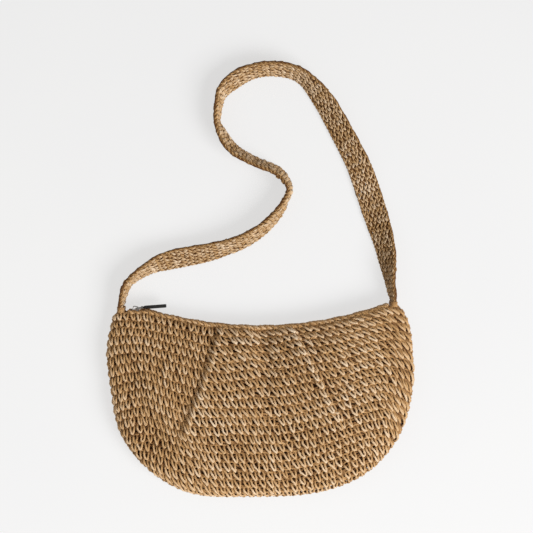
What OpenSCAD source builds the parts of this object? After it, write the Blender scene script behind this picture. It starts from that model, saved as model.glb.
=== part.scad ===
// Crescent hobo bag of crocheted straw, lying on its back on a flat surface.
// +X runs along the zip, +Y from the bottom to the mouth, +Z from the back panel up to the front panel.
// The origin is the middle of the bag's footprint, on the surface that the back panel lies on.
// All sizes are in millimetres and all angles in degrees.

/* [Bag body] */
// Width at the widest line
bag_w = 320; // [312:1:330]
// Height from the bottom to the top corners
bag_h = 200; // [196:1:206]
// Thickness at the fullest point
bag_t = 42; // [38:1:50]
// Thickness of the crocheted fabric
knit_t = 5; // [4.5:0.1:5.5]
// How far the mouth's edge dips between the corners
mouth_dip = 20; // [19:0.5:21]
// How much higher the right corner stands than the middle
corner_tilt = 3; // [1:0.5:4]
// Squareness of the outline, from an ellipse at 2 upwards
outline_power = 2.6; // [2.3:0.1:3]

/* [Mouth and lining] */
// Clear width between the two edges of the mouth
mouth_gap = 12; // [11.8:0.1:13]
// Height of the crocheted edging along the mouth
rim_h = 4; // [3:0.5:4.5]
// Thickness of the lining cloth
lining_t = 0.8; // [0.5:0.1:1]

/* [Zip] */
// Radius of the curve that the zip follows
zip_r = 500; // [490:5:520]
// Width of one row of teeth
teeth_w = 1.85; // [1.6:0.05:1.9]
// Thickness of the chain of teeth
teeth_t = 2.2; // [1.8:0.1:2.3]
// Thickness of the zip's tape
tape_t = 0.6; // [0.4:0.1:0.7]
// Length of the slider
slider_l = 13; // [11:0.5:13]
// Length of the pull bar beyond its eye
pull_l = 25.3; // [18:0.5:27]

/* [Strap] */
// Width of the strap
strap_w = 24; // [20:1:26]
// Thickness of the strap
strap_t = 5; // [4:0.5:5]

/* [Hidden] */
gap = 0.12;                 // between soft pieces that lie against each other

half_w = bag_w / 2;
belly_y = 0.225 * bag_h;    // where the bag is widest
low_b = bag_h / 2 + belly_y;
high_b = 0.475 * bag_h;
rim_y = bag_h / 2 - 2.7;    // the mouth's edge at the corners
mouth_left = 22 - half_w;
mouth_right = half_w - 27;
dip_x = 6;                  // the middle and half the width of the dip in the mouth's edge
dip_half = 125;
mid_z = 13;                 // the plane of the zip and of the side seam
seam_h = 3;                 // height of the side seam between the panels
hub = [0, -5];              // the rings of each panel close in on this point
rings = [1, 0.96, 0.9, 0.81, 0.68, 0.5, 0.27];
mouth_steps = 24;
side_step = 5;
high_angle = 20;            // how far the sides run up past the widest line
crown_z = bag_t;
base_bulge = 2;             // how far the back would bulge past the surface that flattens it
lining_depth = knit_t + 2.5;
lining_rise = 1.5;          // how much nearer to the fabric the lining comes at the mouth
lining_drop = 1.2;          // how far under the tapes' lower edge the lining ends

zip_cy = 74 + zip_r;        // the zip's curve is centred here, on the +Y side
zip_edge = mouth_gap / 2 - 0.2;
teeth_gap = 0.65;
tape_in = teeth_gap + teeth_w + 0.1;
tape_fold = 10;             // how far each tape runs down inside the bag
tape_from = -15.9;
tape_to = 15.3;
chain_from = -15.58;
chain_to = 14.93;
stop_l = 0.16;              // in degrees along the zip
slider_rest = -15.03;       // the closed end
plate_in = 1.4;
plate_t = 1;
link_l = 6;
link_rest = 8.5;            // the link's and the bar's directions, up from +X
bar_rest = 4.2;
pin_r = 0.6;
hook_at = [-0.5, 3.9];      // the link's pin, along and out from the slider's middle

// The strap's route: x, y and how far it leans from lying flat, from the left end to the right end.
route_points = [
    [-144.8, 94.4, 90], [-144.8, 98, 88], [-141, 114, 81], [-134, 124.5, 79], [-115, 137.5, 65],
    [-98.5, 144, 48], [-81.5, 148, 43], [-55.5, 153, 48], [-35.5, 158.5, 57], [-19, 164.5, 61],
    [-1, 175, 66], [11, 185.5, 71], [20.5, 197, 76], [26.5, 207.5, 83], [30.5, 218.5, 83],
    [27, 228.5, 76], [16.5, 239, 71], [-5.5, 248, 70], [-26, 259.5, 67], [-35.5, 270, 68],
    [-41.5, 281.5, 75], [-45, 291.5, 83], [-42.5, 312, 77], [-38, 322.5, 68], [-25, 334, 58],
    [-9, 341.5, 64], [10, 344.5, 65], [31, 342, 65], [47.5, 333, 61], [65, 312.5, 42],
    [77.5, 292, 34], [100, 249.5, 24], [108.5, 228.5, 12], [115.5, 208, 8], [128, 166.5, 38],
    [132, 145.5, 53], [134.5, 124.5, 73], [137, 110, 78], [138.2, 104, 88], [138.2, 100.2, 90]
];
route = [for (p = route_points) [p.x * bag_w / 320, p.y, p.z]];
rings_per_point = 1.9;
strap_rings = floor(len(route) * rings_per_point);
root_w = 20;                // the strap is gathered to this width where it is sewn on

straw = [0.76, 0.6, 0.4];
straw_dark = [0.62, 0.47, 0.3];
cloth = [0.24, 0.15, 0.09];
thread = [0.3, 0.2, 0.13];

function mix(a, b, t) = a + (b - a) * t;
function signed_pow(v, e) = sign(v) * pow(abs(v), e);

// ---- The bag's outline: x, y and how much of the mouth a point belongs to, from 0 to 1 ----

function top_y(x) = rim_y - mouth_dip * max(0, 1 - pow((x - dip_x) / dip_half, 2));
function tilted(p) = [p.x, p.y + corner_tilt * (p.x / 140) * max(0, p.y) / 95, p.z];
function side_point(a) = [
    half_w * signed_pow(cos(a), 2 / outline_power),
    belly_y + (sin(a) < 0 ? low_b : high_b) * signed_pow(sin(a), 2 / outline_power),
    0
];
function mouth_point(i) =
    let (x = mix(mouth_right, mouth_left, i / mouth_steps)) [x, top_y(x), 1];

outline = [for (p = concat(
    [for (i = [0:mouth_steps]) mouth_point(i)],
    [
        [16.5 - half_w, rim_y - 0.3, 0.8], [11.5 - half_w, rim_y - 4.3, 0.4],
        [8 - half_w, rim_y - 10.3, 0.1]
    ],
    [for (a = [180 - high_angle:side_step:360 + high_angle]) side_point(a)],
    [
        [half_w - 8, rim_y - 10.3, 0.1], [half_w - 11.5, rim_y - 4.3, 0.4],
        [half_w - 18, rim_y - 0.5, 0.8]
    ]
)) tilted(p)];

function zip_line(x) = zip_cy - sqrt(zip_r * zip_r - x * x);
knit_outline = [for (p = outline) [p.x, p.y - (p.z == 1 ? rim_h : 0), p.z]];
lining_outline = [for (p = outline) [p.x, mix(p.y, zip_line(p.x) - tape_fold - lining_drop, p.z), p.z]];

// ---- The crowned front and the flattened back, at a depth under their outer surfaces ----

// How much ring r over outline point p takes the mouth's gentle slope: sharp at the edge, soft inside it.
function soft_mouth(p) = let (t = min(1, max(0, (p.y - 15) / 75))) t * t * (3 - 2 * t);
function mouth_share(p, r) = mix(soft_mouth(p), p.z, pow(r, 12));

function side_dome(r) = pow(1 - pow(r, 2.6), 1 / 2.2);
function mouth_dome(r) = 1 - pow(r, 2.2);
function back_dome(r) = pow(1 - pow(r, 3.5), 0.5);

// The point of the ring r that faces outline point p, pulled in by the depth d at the sides.
function ring_xy(p, r, d) =
    let (away = [p.x, p.y] - hub)
    hub + away * (r * (1 - d * (1 - p.z) / norm(away)));

function front_height(p, r, d) =
    let (
        m = mouth_share(p, r),
        edge = mix(mid_z + seam_h / 2, mid_z + mouth_gap / 2 + knit_t - d, m),
        dome = mix(side_dome(r), mouth_dome(r), m)
    )
    edge + (crown_z - d - edge) * dome;

function back_height(p, r, d) =
    let (
        m = mouth_share(p, r),
        edge = mix(mid_z - seam_h / 2, mid_z - mouth_gap / 2 - knit_t, m),
        sunk = edge * (1 - back_dome(r)) - base_bulge * back_dome(r)
    )
    d == 0 ? sunk : max(0, sunk) + d * mix(back_dome(r), 1, m);

function front_point(p, r, d) = let (q = ring_xy(p, r, d)) [q.x, q.y, front_height(p, r, d)];
function back_point(p, r, d) = let (q = ring_xy(p, r, d)) [q.x, q.y, back_height(p, r, d)];
function lining_at(d, p, r) = d - lining_rise * p.z * pow(r, 6);

function front_rings(around, d, lining = false) = [
    for (r = rings) [for (p = around) front_point(p, r, lining ? lining_at(d, p, r) : d)]
];
function back_rings(around, d, lining = false) = [
    for (r = rings) [for (p = around) back_point(p, r, lining ? lining_at(d, p, r) : d)]
];

// ---- Solids built from rings of points ----

function flat_list(rows) = [for (row = rows) for (p = row) p];

// Triangles of a domed surface whose rings start at index from; up says which way it faces.
function dome_faces(n, count, from, up) = concat(
    [for (k = [0:count - 2]) for (i = [0:n - 1])
        let (
            a = from + k * n + i, b = from + k * n + (i + 1) % n,
            c = b + n, d = a + n
        )
        each (up ? [[a, c, b], [a, d, c]] : [[a, b, c], [a, c, d]])],
    [for (i = [0:n - 1])
        let (
            a = from + (count - 1) * n + i, b = from + (count - 1) * n + (i + 1) % n,
            tip = from + count * n
        )
        up ? [a, tip, b] : [a, b, tip]]
);

// A closed shell between an upper and a lower domed surface with the same rings.
module shell(upper, lower, upper_tip, lower_tip) {
    n = len(upper[0]);
    count = len(upper);
    size = n * count + 1;
    edge = [for (i = [0:n - 1])
        let (j = (i + 1) % n) each [[i, j, size + j], [i, size + j, size + i]]];
    polyhedron(
        points = concat(flat_list(upper), [upper_tip], flat_list(lower), [lower_tip]),
        faces = concat(
            dome_faces(n, count, 0, true), dome_faces(n, count, size, false), edge
        )
    );
}

// A bar swept through a row of closed sections, each a list of points, with a flat cap at each end.
module swept(sections) {
    n = len(sections[0]);
    last = (len(sections) - 1) * n;
    sides = [for (k = [0:len(sections) - 2]) for (i = [0:n - 1])
        let (
            a = k * n + i, b = k * n + (i + 1) % n, c = b + n, d = a + n
        )
        each [[a, b, c], [a, c, d]]];
    caps = [for (i = [1:n - 2]) each [[0, i + 1, i], [last, last + i, last + i + 1]]];
    polyhedron(points = flat_list(sections), faces = concat(sides, caps));
}

// ---- Crocheted body ----

module front_panel() {
    color(straw)
        shell(
            front_rings(knit_outline, 0), front_rings(knit_outline, knit_t),
            [hub.x, hub.y, crown_z], [hub.x, hub.y, crown_z - knit_t]
        );
}

// The back is cut flat where it lies on the surface under it.
module back_panel() {
    color(straw)
        difference() {
            shell(
                back_rings(knit_outline, knit_t), back_rings(knit_outline, 0),
                [hub.x, hub.y, knit_t], [hub.x, hub.y, -base_bulge]
            );
            translate([-bag_w, -bag_h, -3 * base_bulge])
                cube([2 * bag_w, 2 * bag_h, 3 * base_bulge]);
        }
}

// The crocheted seam that joins the panels round the sides and the bottom and closes the mouth's ends.
module side_seam() {
    function section(p) =
        let (
            out = ([p.x, p.y] - hub) / norm([p.x, p.y] - hub),
            proud = [p.x, p.y] + out * gap * p.z,
            deep = proud - out * knit_t * (1 - p.z) - out * 1.5 * p.z,
            lean = gap * (1 - p.z),
            front_edge = front_height(p, 1, 0) - lean,
            front_deep = front_height(p, 1, knit_t) - lean,
            back_edge = back_height(p, 1, 0) + lean,
            back_deep = back_edge + knit_t * p.z
        )
        [
            [proud.x, proud.y, back_edge], [proud.x, proud.y, front_edge],
            [deep.x, deep.y, front_deep], [deep.x, deep.y, back_deep]
        ];
    color(straw_dark)
        swept([for (p = outline) if (p.z < 0.2) section(p)]);
}

// Edging along one side of the mouth: inner_z is its face towards the zip, way is 1 in front and -1 behind.
module rim(way) {
    inner_z = mid_z + way * mouth_gap / 2;
    outer_z = inner_z + way * knit_t;
    bevel = 1.2;
    function section(p) =
        let (low = p.y - rim_h + gap, z_in = inner_z + way * bevel, z_out = outer_z - way * bevel)
        [
            [p.x, low, inner_z], [p.x, p.y - bevel, inner_z], [p.x, p.y, z_in],
            [p.x, p.y, z_out], [p.x, p.y - bevel, outer_z], [p.x, low, outer_z]
        ];
    along = [for (p = outline) if (p.z == 1) section(p)];
    swept(way > 0 ? [for (i = [len(along) - 1:-1:0]) along[i]] : along);
}

module front_rim() { color(straw_dark) rim(1); }
module back_rim() { color(straw_dark) rim(-1); }

// ---- Lining and the stitching of the two darts ----

module lining_front() {
    inner_depth = lining_depth + lining_t;
    color(cloth)
        shell(
            front_rings(lining_outline, lining_depth, true),
            front_rings(lining_outline, inner_depth, true),
            [hub.x, hub.y, crown_z - lining_depth], [hub.x, hub.y, crown_z - inner_depth]
        );
}

module lining_back() {
    inner_depth = lining_depth + lining_t;
    color(cloth)
        shell(
            back_rings(lining_outline, inner_depth, true),
            back_rings(lining_outline, lining_depth, true),
            [hub.x, hub.y, inner_depth], [hub.x, hub.y, lining_depth]
        );
}

// Height of the front panel's surface over any point, from the ring that passes through it.
start_angle = atan2(outline[0].y - hub.y, outline[0].x - hub.x);
function turn(q) = let (a = atan2(q.y - hub.y, q.x - hub.x)) a < start_angle ? a + 360 : a;
reach_table = [for (p = knit_outline) [turn(p), norm([p.x, p.y] - hub)]];
mouth_table = [for (p = knit_outline) [turn(p), p.z]];
function front_over(q, d) =
    let (
        a = turn(q), reach = lookup(a, reach_table), m = lookup(a, mouth_table),
        facing = [hub.x + reach * cos(a), hub.y + reach * sin(a), m]
    )
    front_height(facing, norm(q - hub) / reach, d);

// A yarn that holds a dart's fold on the inside, from the mouth towards the bottom.
module dart_stitching(from, to) {
    steps = 9;
    yarn_r = 0.4;
    along = (to - from) / norm(to - from);
    across = [-along.y, along.x];
    function section(t) =
        let (q = mix(from, to, t), z = front_over(q, knit_t + 1))
        [for (a = [0:60:300]) let (s = across * yarn_r * cos(a))
            [q.x + s.x, q.y + s.y, z + yarn_r * sin(a)]];
    color(thread)
        swept([for (i = [0:steps]) section(i / steps)]);
}

module dart_stitching_left() { dart_stitching([-49, 60], [-80, -22]); }
module dart_stitching_right() { dart_stitching([43, 60], [79, -16]); }

// ---- Zip ----

// A ring sector along the zip: its profile is drawn as distance out of the bag and height over the zip.
module along_zip(from, to) {
    translate([0, zip_cy, mid_z])
        rotate([0, 0, from - 90])
            rotate_extrude(angle = to - from)
                translate([zip_r, 0])
                    mirror([1, 0])
                        children();
}

module zip_tape(way) {
    outer = zip_edge;
    inner = zip_edge - tape_t;
    color(cloth)
        along_zip(tape_from, tape_to)
            polygon([
                [tape_t / 2, way * tape_in], [tape_t / 2, way * outer],
                [-tape_fold, way * outer], [-tape_fold, way * inner],
                [-tape_t / 2, way * inner], [-tape_t / 2, way * tape_in]
            ]);
}

module zip_tape_front() { zip_tape(1); }
module zip_tape_back() { zip_tape(-1); }

module zip_teeth(way) {
    color([0.16, 0.12, 0.1])
        along_zip(chain_from, chain_to)
            translate([-teeth_t / 2, way > 0 ? teeth_gap : -teeth_gap - teeth_w])
                square([teeth_t, teeth_w]);
}

module zip_teeth_front() { zip_teeth(1); }
module zip_teeth_back() { zip_teeth(-1); }

module zip_top_stops() {
    color("silver")
        along_zip(chain_from - stop_l - 0.01, chain_from - 0.01)
            for (low = [teeth_gap, -teeth_gap - teeth_w])
                translate([-teeth_t / 2, low])
                    square([teeth_t, teeth_w]);
}

module zip_bottom_stop() {
    color("silver")
        along_zip(chain_to + 0.01, chain_to + stop_l + 0.01)
            translate([-teeth_t / 2, -teeth_gap - teeth_w])
                square([teeth_t, 2 * (teeth_gap + teeth_w)]);
}

// The row of thread that sews each tape to the mouth.
module zip_stitching(way) {
    thread_t = 0.4;
    color(thread)
        along_zip(tape_from + 0.1, tape_to - 0.1)
            translate([-3.1, way > 0 ? zip_edge - tape_t - thread_t - 0.05 : tape_t - zip_edge + 0.05])
                square(thread_t);
}

module zip_stitching_front() { zip_stitching(1); }
module zip_stitching_back() { zip_stitching(-1); }

// ---- Slider and pull, in the slider's own frame: along the zip, out of the bag, across the zip ----

module at_slider() {
    translate([0, zip_cy, 0])
        rotate([0, 0, slider_rest])
            translate([0, -zip_r, mid_z])
                children();
}

module plate(out_face) {
    half = slider_l / 2;
    translate([0, out_face, 0])
        rotate([90, 0, 0])
            linear_extrude(plate_t)
                polygon([
                    [-half, -3], [1.5 - half, -4.7], [0, -4.7], [half - 1, -3.9], [half, -2.9],
                    [half, 2.9], [half - 1, 3.9], [0, 4.7], [1.5 - half, 4.7], [-half, 3]
                ]);
}

module slider_body() {
    half = slider_l / 2;
    wall_h = plate_in - tape_t;
    beam_y = hook_at.y + 1.3;
    color("silver")
        at_slider()
            union() {
                plate(plate_in + plate_t);
                plate(-plate_in);
                // the post that parts the two rows of teeth
                translate([1 - half, -plate_in - 0.1, -0.45])
                    cube([3.5, 2 * plate_in + 0.2, 0.9]);
                // the walls that guide the tapes
                for (z = [-4.6, 3.6])
                    for (y = [tape_t, -plate_in - 0.1])
                        translate([2 - half, y, z])
                            cube([slider_l / 2 - 0.5, wall_h + 0.1, 1]);
                // the bridge that holds the link
                for (x = [-4.5, 1.5])
                    translate([x, plate_in + plate_t - 0.1, -1])
                        cube([0.8, beam_y - plate_in - plate_t + 0.2, 2]);
                translate([-4.5, beam_y, -1])
                    cube([6.8, 1, 2]);
            }
}

// Two cross pins held by an arm on each side of the bridge.
module pull_link() {
    arm_t = 0.8;
    arm_r = 0.9;
    color("silver")
        at_slider()
            translate([hook_at.x, hook_at.y, 0])
                rotate([0, 0, link_rest - slider_rest])
                    union() {
                        for (z = [-2.4, 2.4 - arm_t]) translate([0, 0, z]) {
                            translate([0, -arm_r, 0])
                                cube([link_l, 2 * arm_r, arm_t]);
                            for (x = [0, link_l])
                                translate([x, 0, 0])
                                    cylinder(r = arm_r, h = arm_t, $fn = 48);
                        }
                        for (x = [0, link_l])
                            translate([x, 0, -2])
                                cylinder(r = pin_r, h = 4, $fn = 48);
                    }
}

module pull_bar() {
    eye_r = 1.5;
    eye_h = 2.6;
    body_from = 2.2;
    color([0.06, 0.06, 0.06])
        at_slider()
            translate([hook_at.x, hook_at.y, 0])
                rotate([0, 0, link_rest - slider_rest])
                    translate([link_l, 0, 0])
                        rotate([0, 0, bar_rest - link_rest])
                            difference() {
                                union() {
                                    cylinder(r = eye_r, h = eye_h, center = true, $fn = 48);
                                    translate([0, -1.2, -eye_h / 2])
                                        cube([body_from + 0.5, 2.4, eye_h]);
                                    translate([body_from, -1.8, -2.5])
                                        cube([pull_l - body_from, 3.6, 5]);
                                }
                                cylinder(r = pin_r + 0.1, h = 5, center = true, $fn = 48);
                            }
}

// ---- Strap ----

// A smooth curve through the route's points, at t counted in points.
function route_at(t) =
    let (
        last = len(route) - 1, i = min(floor(t), last - 1), u = t - i,
        a = route[max(i - 1, 0)], b = route[i], c = route[i + 1], d = route[min(i + 2, last)]
    )
    0.5 * (2 * b + (c - a) * u + (2 * a - 5 * b + 4 * c - d) * u * u
        + (3 * b - a - 3 * c + d) * u * u * u);

function strap_section(k) =
    let (
        last = len(route) - 1, t = last * k / (strap_rings - 1),
        here = route_at(t), ahead = route_at(min(t + 0.1, last)), behind = route_at(max(t - 0.1, 0)),
        way = ahead - behind, way_l = norm([way.x, way.y]),
        side = [-way.y / way_l, way.x / way_l, 0],
        lean = min(here.z, 90),
        wide = side * cos(lean) + [0, 0, sin(lean)],
        thick = [0, 0, cos(lean)] - side * sin(lean),
        middle = [here.x, here.y, strap_w / 2 * sin(lean) + strap_t / 2 * cos(lean)],
        gathered = min(1, min(k, strap_rings - 1 - k) / 6),
        w = mix(root_w, strap_w, gathered) / 2,
        h = strap_t / 2
    )
    [for (c = [[1, 0.4], [0.87, 1], [-0.87, 1], [-1, 0.4], [-1, -0.4], [-0.87, -1], [0.87, -1], [1, -0.4]])
        middle + wide * c.x * w + thick * c.y * h];

module strap() {
    color(straw)
        swept([for (k = [0:strap_rings - 1]) strap_section(k)]);
}

// A whipping of yarn round the strap where it is sewn to a corner.
module strap_join(at) {
    wrap_t = 1.2;
    wrap_h = 2.6;
    room = 0.7;
    inner = [strap_t + 2 * room, root_w + 2 * room];
    outer = inner + [2 * wrap_t, 2 * wrap_t];
    color(straw_dark)
        translate([at.x, at.y + 0.4 + wrap_h, strap_w / 2])
            rotate([90, 0, 0])
                linear_extrude(wrap_h)
                    difference() {
                        union() {
                            square([outer.x - 2 * wrap_t, outer.y], center = true);
                            square([outer.x, outer.y - 2 * wrap_t], center = true);
                            for (x = [-1, 1]) for (y = [-1, 1])
                                translate([x * inner.x / 2, y * inner.y / 2])
                                    circle(r = wrap_t, $fn = 32);
                        }
                        square(inner, center = true);
                    }
}

module strap_join_left() { strap_join(route[0]); }
module strap_join_right() { strap_join(route[len(route) - 1]); }

front_panel();
back_panel();
side_seam();
front_rim();
back_rim();
lining_front();
lining_back();
dart_stitching_left();
dart_stitching_right();
zip_tape_front();
zip_tape_back();
zip_teeth_front();
zip_teeth_back();
zip_top_stops();
zip_bottom_stop();
zip_stitching_front();
zip_stitching_back();
slider_body();
pull_link();
pull_bar();
strap();
strap_join_left();
strap_join_right();
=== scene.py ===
import math

import bpy
import numpy as np
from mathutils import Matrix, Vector


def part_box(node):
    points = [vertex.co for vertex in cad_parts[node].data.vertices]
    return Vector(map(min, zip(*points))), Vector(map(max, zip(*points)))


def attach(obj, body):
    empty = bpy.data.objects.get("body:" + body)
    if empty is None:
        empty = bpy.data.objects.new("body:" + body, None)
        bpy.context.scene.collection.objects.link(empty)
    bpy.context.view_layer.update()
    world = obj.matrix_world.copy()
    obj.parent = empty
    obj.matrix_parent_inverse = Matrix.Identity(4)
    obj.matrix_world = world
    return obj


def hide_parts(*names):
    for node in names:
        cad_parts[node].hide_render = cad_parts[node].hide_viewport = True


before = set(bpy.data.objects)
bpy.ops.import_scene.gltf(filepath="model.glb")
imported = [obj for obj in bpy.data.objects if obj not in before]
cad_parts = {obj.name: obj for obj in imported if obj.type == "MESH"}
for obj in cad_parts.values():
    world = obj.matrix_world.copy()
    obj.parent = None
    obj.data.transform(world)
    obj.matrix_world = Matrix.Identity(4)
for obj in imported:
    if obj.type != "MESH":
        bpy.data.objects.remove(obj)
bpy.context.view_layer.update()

MM = 0.001
random = np.random.default_rng(7)

# ---- Camera ----

VIEW_CENTRE = (6.25 * MM, 138.6 * MM)
VIEW_WIDTH = 0.555
CAMERA_HEIGHT = 1.5
SENSOR = 36


def make_camera():
    data = bpy.data.cameras.new("camera")
    data.sensor_width = SENSOR
    data.lens = SENSOR * CAMERA_HEIGHT / VIEW_WIDTH
    camera = bpy.data.objects.new("camera", data)
    camera.location = (*VIEW_CENTRE, CAMERA_HEIGHT + 12 * MM)
    bpy.context.scene.collection.objects.link(camera)
    bpy.context.scene.camera = camera


make_camera()
bpy.context.scene.view_settings.view_transform = "Standard"

# ---- Shaping helpers ----


def smooth_step(t):
    t = np.clip(t, 0, 1)
    return t * t * (3 - 2 * t)


def ease(value, start, over):
    """0 up to start, 1 from start + over on, and a smooth rise between them."""
    return smooth_step((value - start) / over)


def bell(value, middle, width):
    return np.exp(-((value - middle) / width) ** 2)


def mix(a, b, t):
    return a + (b - a) * t


def unit(v):
    return v / np.maximum(np.linalg.norm(v, axis=-1, keepdims=True), 1e-12)


def signed_pow(v, e):
    return np.sign(v) * np.abs(v) ** e


def run_of(path):
    """How far along a path each of its points lies."""
    return np.concatenate([[0], np.cumsum(np.linalg.norm(np.diff(path, axis=0), axis=1))])


def sample(path, along, s):
    """The points of a path at the distances s along it. along is its run_of."""
    return np.stack([np.interp(s, along, path[:, i]) for i in range(path.shape[1])], -1)


def side_of(way):
    """The direction to the left of each direction in a plane."""
    return np.stack([-way[:, 1], way[:, 0]], 1)


def curve_through(points, steps):
    """A smooth curve through control points, with steps samples from each point to the next."""
    points = np.asarray(points, float)
    padded = np.vstack([2 * points[0] - points[1], points, 2 * points[-1] - points[-2]])
    a, b, c, d = padded[:-3], padded[1:-2], padded[2:-1], padded[3:]
    u = (np.arange(steps) / steps)[None, :, None]
    a, b, c, d = (p[:, None, :] for p in (a, b, c, d))
    curve = 0.5 * (
        2 * b + (c - a) * u + (2 * a - 5 * b + 4 * c - d) * u**2 + (3 * b - a - 3 * c + d) * u**3
    )
    return np.vstack([curve.reshape(-1, points.shape[1]), points[-1:]])


# ---- Meshes ----

LOWEST = 0.25 * MM               # the height over the floor that no straw goes below


def mesh_object(name, points, faces, attributes=()):
    """An object from points and a list of equal-sided face arrays, with named values on its points."""
    mesh = bpy.data.meshes.new(name)
    mesh.vertices.add(len(points))
    mesh.vertices.foreach_set("co", np.asarray(points, np.float32).ravel())
    corners = np.concatenate([f.ravel() for f in faces]).astype(np.int32)
    sizes = np.concatenate([np.full(len(f), f.shape[1], np.int32) for f in faces])
    mesh.loops.add(len(corners))
    mesh.loops.foreach_set("vertex_index", corners)
    mesh.polygons.add(len(sizes))
    mesh.polygons.foreach_set("loop_start", np.cumsum(sizes) - sizes)
    mesh.update(calc_edges=True)
    mesh.shade_smooth()
    for key, values in dict(attributes).items():
        kind, field = ("FLOAT", "value") if values.ndim == 1 else ("FLOAT_VECTOR", "vector")
        layer = mesh.attributes.new(key, kind, "POINT")
        layer.data.foreach_set(field, np.asarray(values, np.float32).ravel())
    obj = bpy.data.objects.new(name, mesh)
    bpy.context.scene.collection.objects.link(obj)
    return obj


def skin(rings, sides, closed=False):
    """Four-sided faces over rings of points. A closed skin joins its last ring to its first."""
    i, k = np.meshgrid(np.arange(rings if closed else rings - 1), np.arange(sides), indexing="ij")
    j, nxt = (i + 1) % rings, (k + 1) % sides
    return np.stack([i * sides + k, j * sides + k, j * sides + nxt, i * sides + nxt], -1).reshape(-1, 4)


def skin_ends(rings, sides):
    """The two faces that close the first and the last ring."""
    return np.stack([np.arange(sides), (rings - 1) * sides + np.arange(sides)[::-1]])


def finish(piece, cad_node, material, body="bag"):
    """Hides the CAD node that a piece stands for, puts the piece on its body, and gives it its material."""
    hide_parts(cad_node)
    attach(piece, body)
    piece.data.materials.append(material)
    return piece


class Yarn:
    """Gathers tubes of yarn into one mesh. Each point keeps its place on the yarn and its tone."""

    def __init__(self):
        self.points, self.quads, self.caps, self.yarn, self.tone = [], [], [], [], []
        self.count = 0

    def add(self, path, radius, tone, sides=7, twist=1100.0, flat=0.16):
        path = np.asarray(path, float)
        rings = len(path)
        radius = np.broadcast_to(radius, rings)
        tangent = unit(np.gradient(path, axis=0))
        ups = np.empty_like(path)
        up = unit(np.cross(tangent[0], [0.3, 0.9, 0.2]))
        for i in range(rings):
            up = up - tangent[i] * (up @ tangent[i])
            up = up / math.sqrt(up @ up)
            ups[i] = up
        across = np.cross(tangent, ups)
        turn = np.arange(sides) * 2 * math.pi / sides
        ring = np.cos(turn)[None, :, None] * ups[:, None] + np.sin(turn)[None, :, None] * across[:, None]
        along = run_of(path)
        angle = turn[None, :] + along[:, None] * twist
        reach = radius[:, None] * (1 + flat * np.cos(2 * angle))
        self.points.append((path[:, None] + ring * reach[:, :, None]).reshape(-1, 3))
        place = [np.broadcast_to(along[:, None], angle.shape), np.cos(angle), np.sin(angle)]
        self.yarn.append(np.stack(place, -1).reshape(-1, 3))
        self.tone.append(np.repeat(np.broadcast_to(tone, rings), sides))
        self.quads.append(skin(rings, sides) + self.count)
        self.caps.append(skin_ends(rings, sides) + self.count)
        self.count += rings * sides

    def build(self, name, low=None):
        points = np.vstack(self.points)
        if low is not None:
            points[:, 2] = np.maximum(points[:, 2], low)
        return mesh_object(
            name, points, [np.vstack(self.quads), np.vstack(self.caps)],
            {"yarn": np.vstack(self.yarn), "tone": np.concatenate(self.tone)},
        )


class Solid:
    """Gathers rounded parts into one mesh. A part is given in millimetres, and place moves it to the bag."""

    def __init__(self):
        self.points, self.faces, self.count = [], [], 0

    def add(self, points, faces, place):
        self.points.append(place(points * MM))
        self.faces += [f + self.count for f in faces]
        self.count += len(points)

    def plate(self, outline, middle, thick, bevel, place):
        """A plate with rounded edges: a loop of its first two coordinates, and thick in the third."""
        n = len(outline)
        inward = side_of(unit(np.roll(outline, -1, axis=0) - np.roll(outline, 1, axis=0)))
        quarter = np.linspace(0, math.pi / 2, 5)
        inset = np.concatenate([1 - np.sin(quarter), 1 - np.cos(quarter)])
        under, over = bevel * (1 - np.cos(quarter)) - thick / 2, thick / 2 - bevel * (1 - np.sin(quarter))
        rings = [
            np.column_stack([outline + inward * bevel * d, np.full(n, middle + h)])
            for d, h in zip(inset, np.concatenate([under, over]))
        ]
        quads, ends = skin(len(rings), n), skin_ends(len(rings), n)
        self.add(np.vstack(rings), [quads[:, [0, 3, 2, 1]], ends[:, ::-1]], place)

    def sweep(self, loops, closed, place):
        """A skin over loops of points. A closed sweep joins its last loop to its first."""
        rings, n = loops.shape[:2]
        faces = [skin(rings, n, closed)]
        if not closed:
            faces.append(skin_ends(rings, n))
        self.add(loops.reshape(-1, 3), faces, place)

    def build(self, name):
        return mesh_object(name, np.vstack(self.points), self.faces)


# ---- Materials ----


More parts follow.
